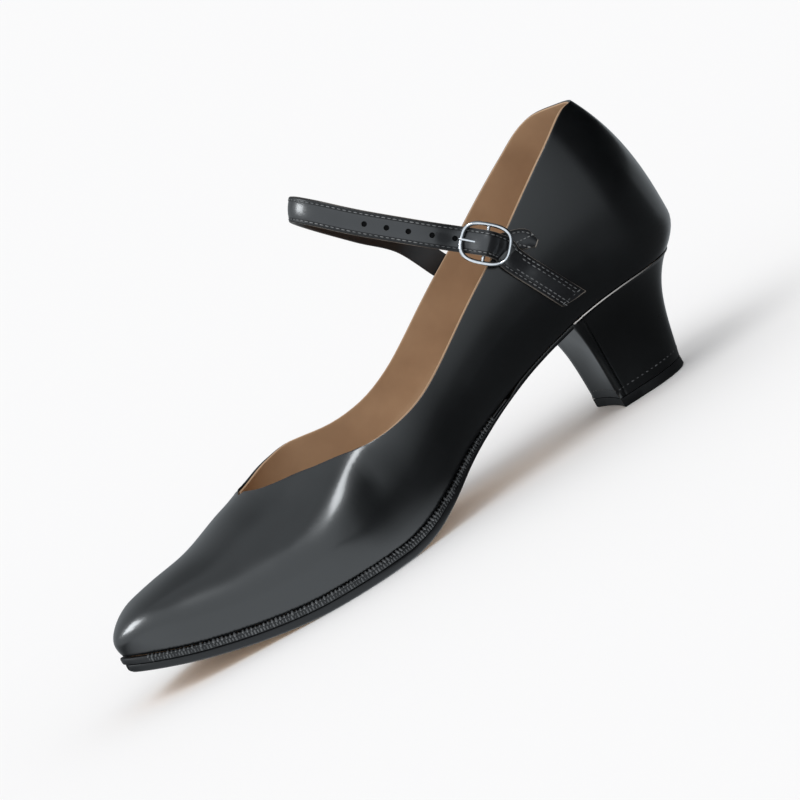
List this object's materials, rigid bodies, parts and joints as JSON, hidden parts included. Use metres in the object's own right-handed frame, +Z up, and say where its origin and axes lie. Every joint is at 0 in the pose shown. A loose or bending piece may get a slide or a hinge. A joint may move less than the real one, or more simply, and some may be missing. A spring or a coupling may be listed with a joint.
{
  "type": "character shoe",
  "caption": "Black leather closed pump with a V throat, buckled ankle strap, welted leather sole and a low leather-covered heel; left shoe.",
  "frame": {"origin": "middle of the heel's walking surface, on the floor", "axes": "+X towards the toe, +Y towards the shoe's outer side, where the buckle is, +Z up"},
  "size_m": [0.2507, 0.0773, 0.1238],
  "materials": {
    "black_leather": "smooth dressed calf with a satin gloss",
    "heel_leather": "smooth dressed calf over the heel block",
    "strap_leather": "smooth dressed calf, stitched edges",
    "sole_leather": "natural bend leather, scored tread",
    "top_piece_leather": "natural leather lift with a black edge",
    "edge_black": "black-dyed wheeled edge",
    "lining": "tan lining leather",
    "chrome": "bright nickel plate"
  },
  "bodies": {
    "root": {"upper": "black_leather", "outsole": "sole_leather", "welt": "edge_black", "insole": "lining", "heel": "heel_leather", "top_piece": "top_piece_leather", "ankle_strap": "strap_leather", "buckle_frame": "chrome", "buckle_prong": "chrome", "buckle_tab": "strap_leather"}
  },
  "joints": []
}
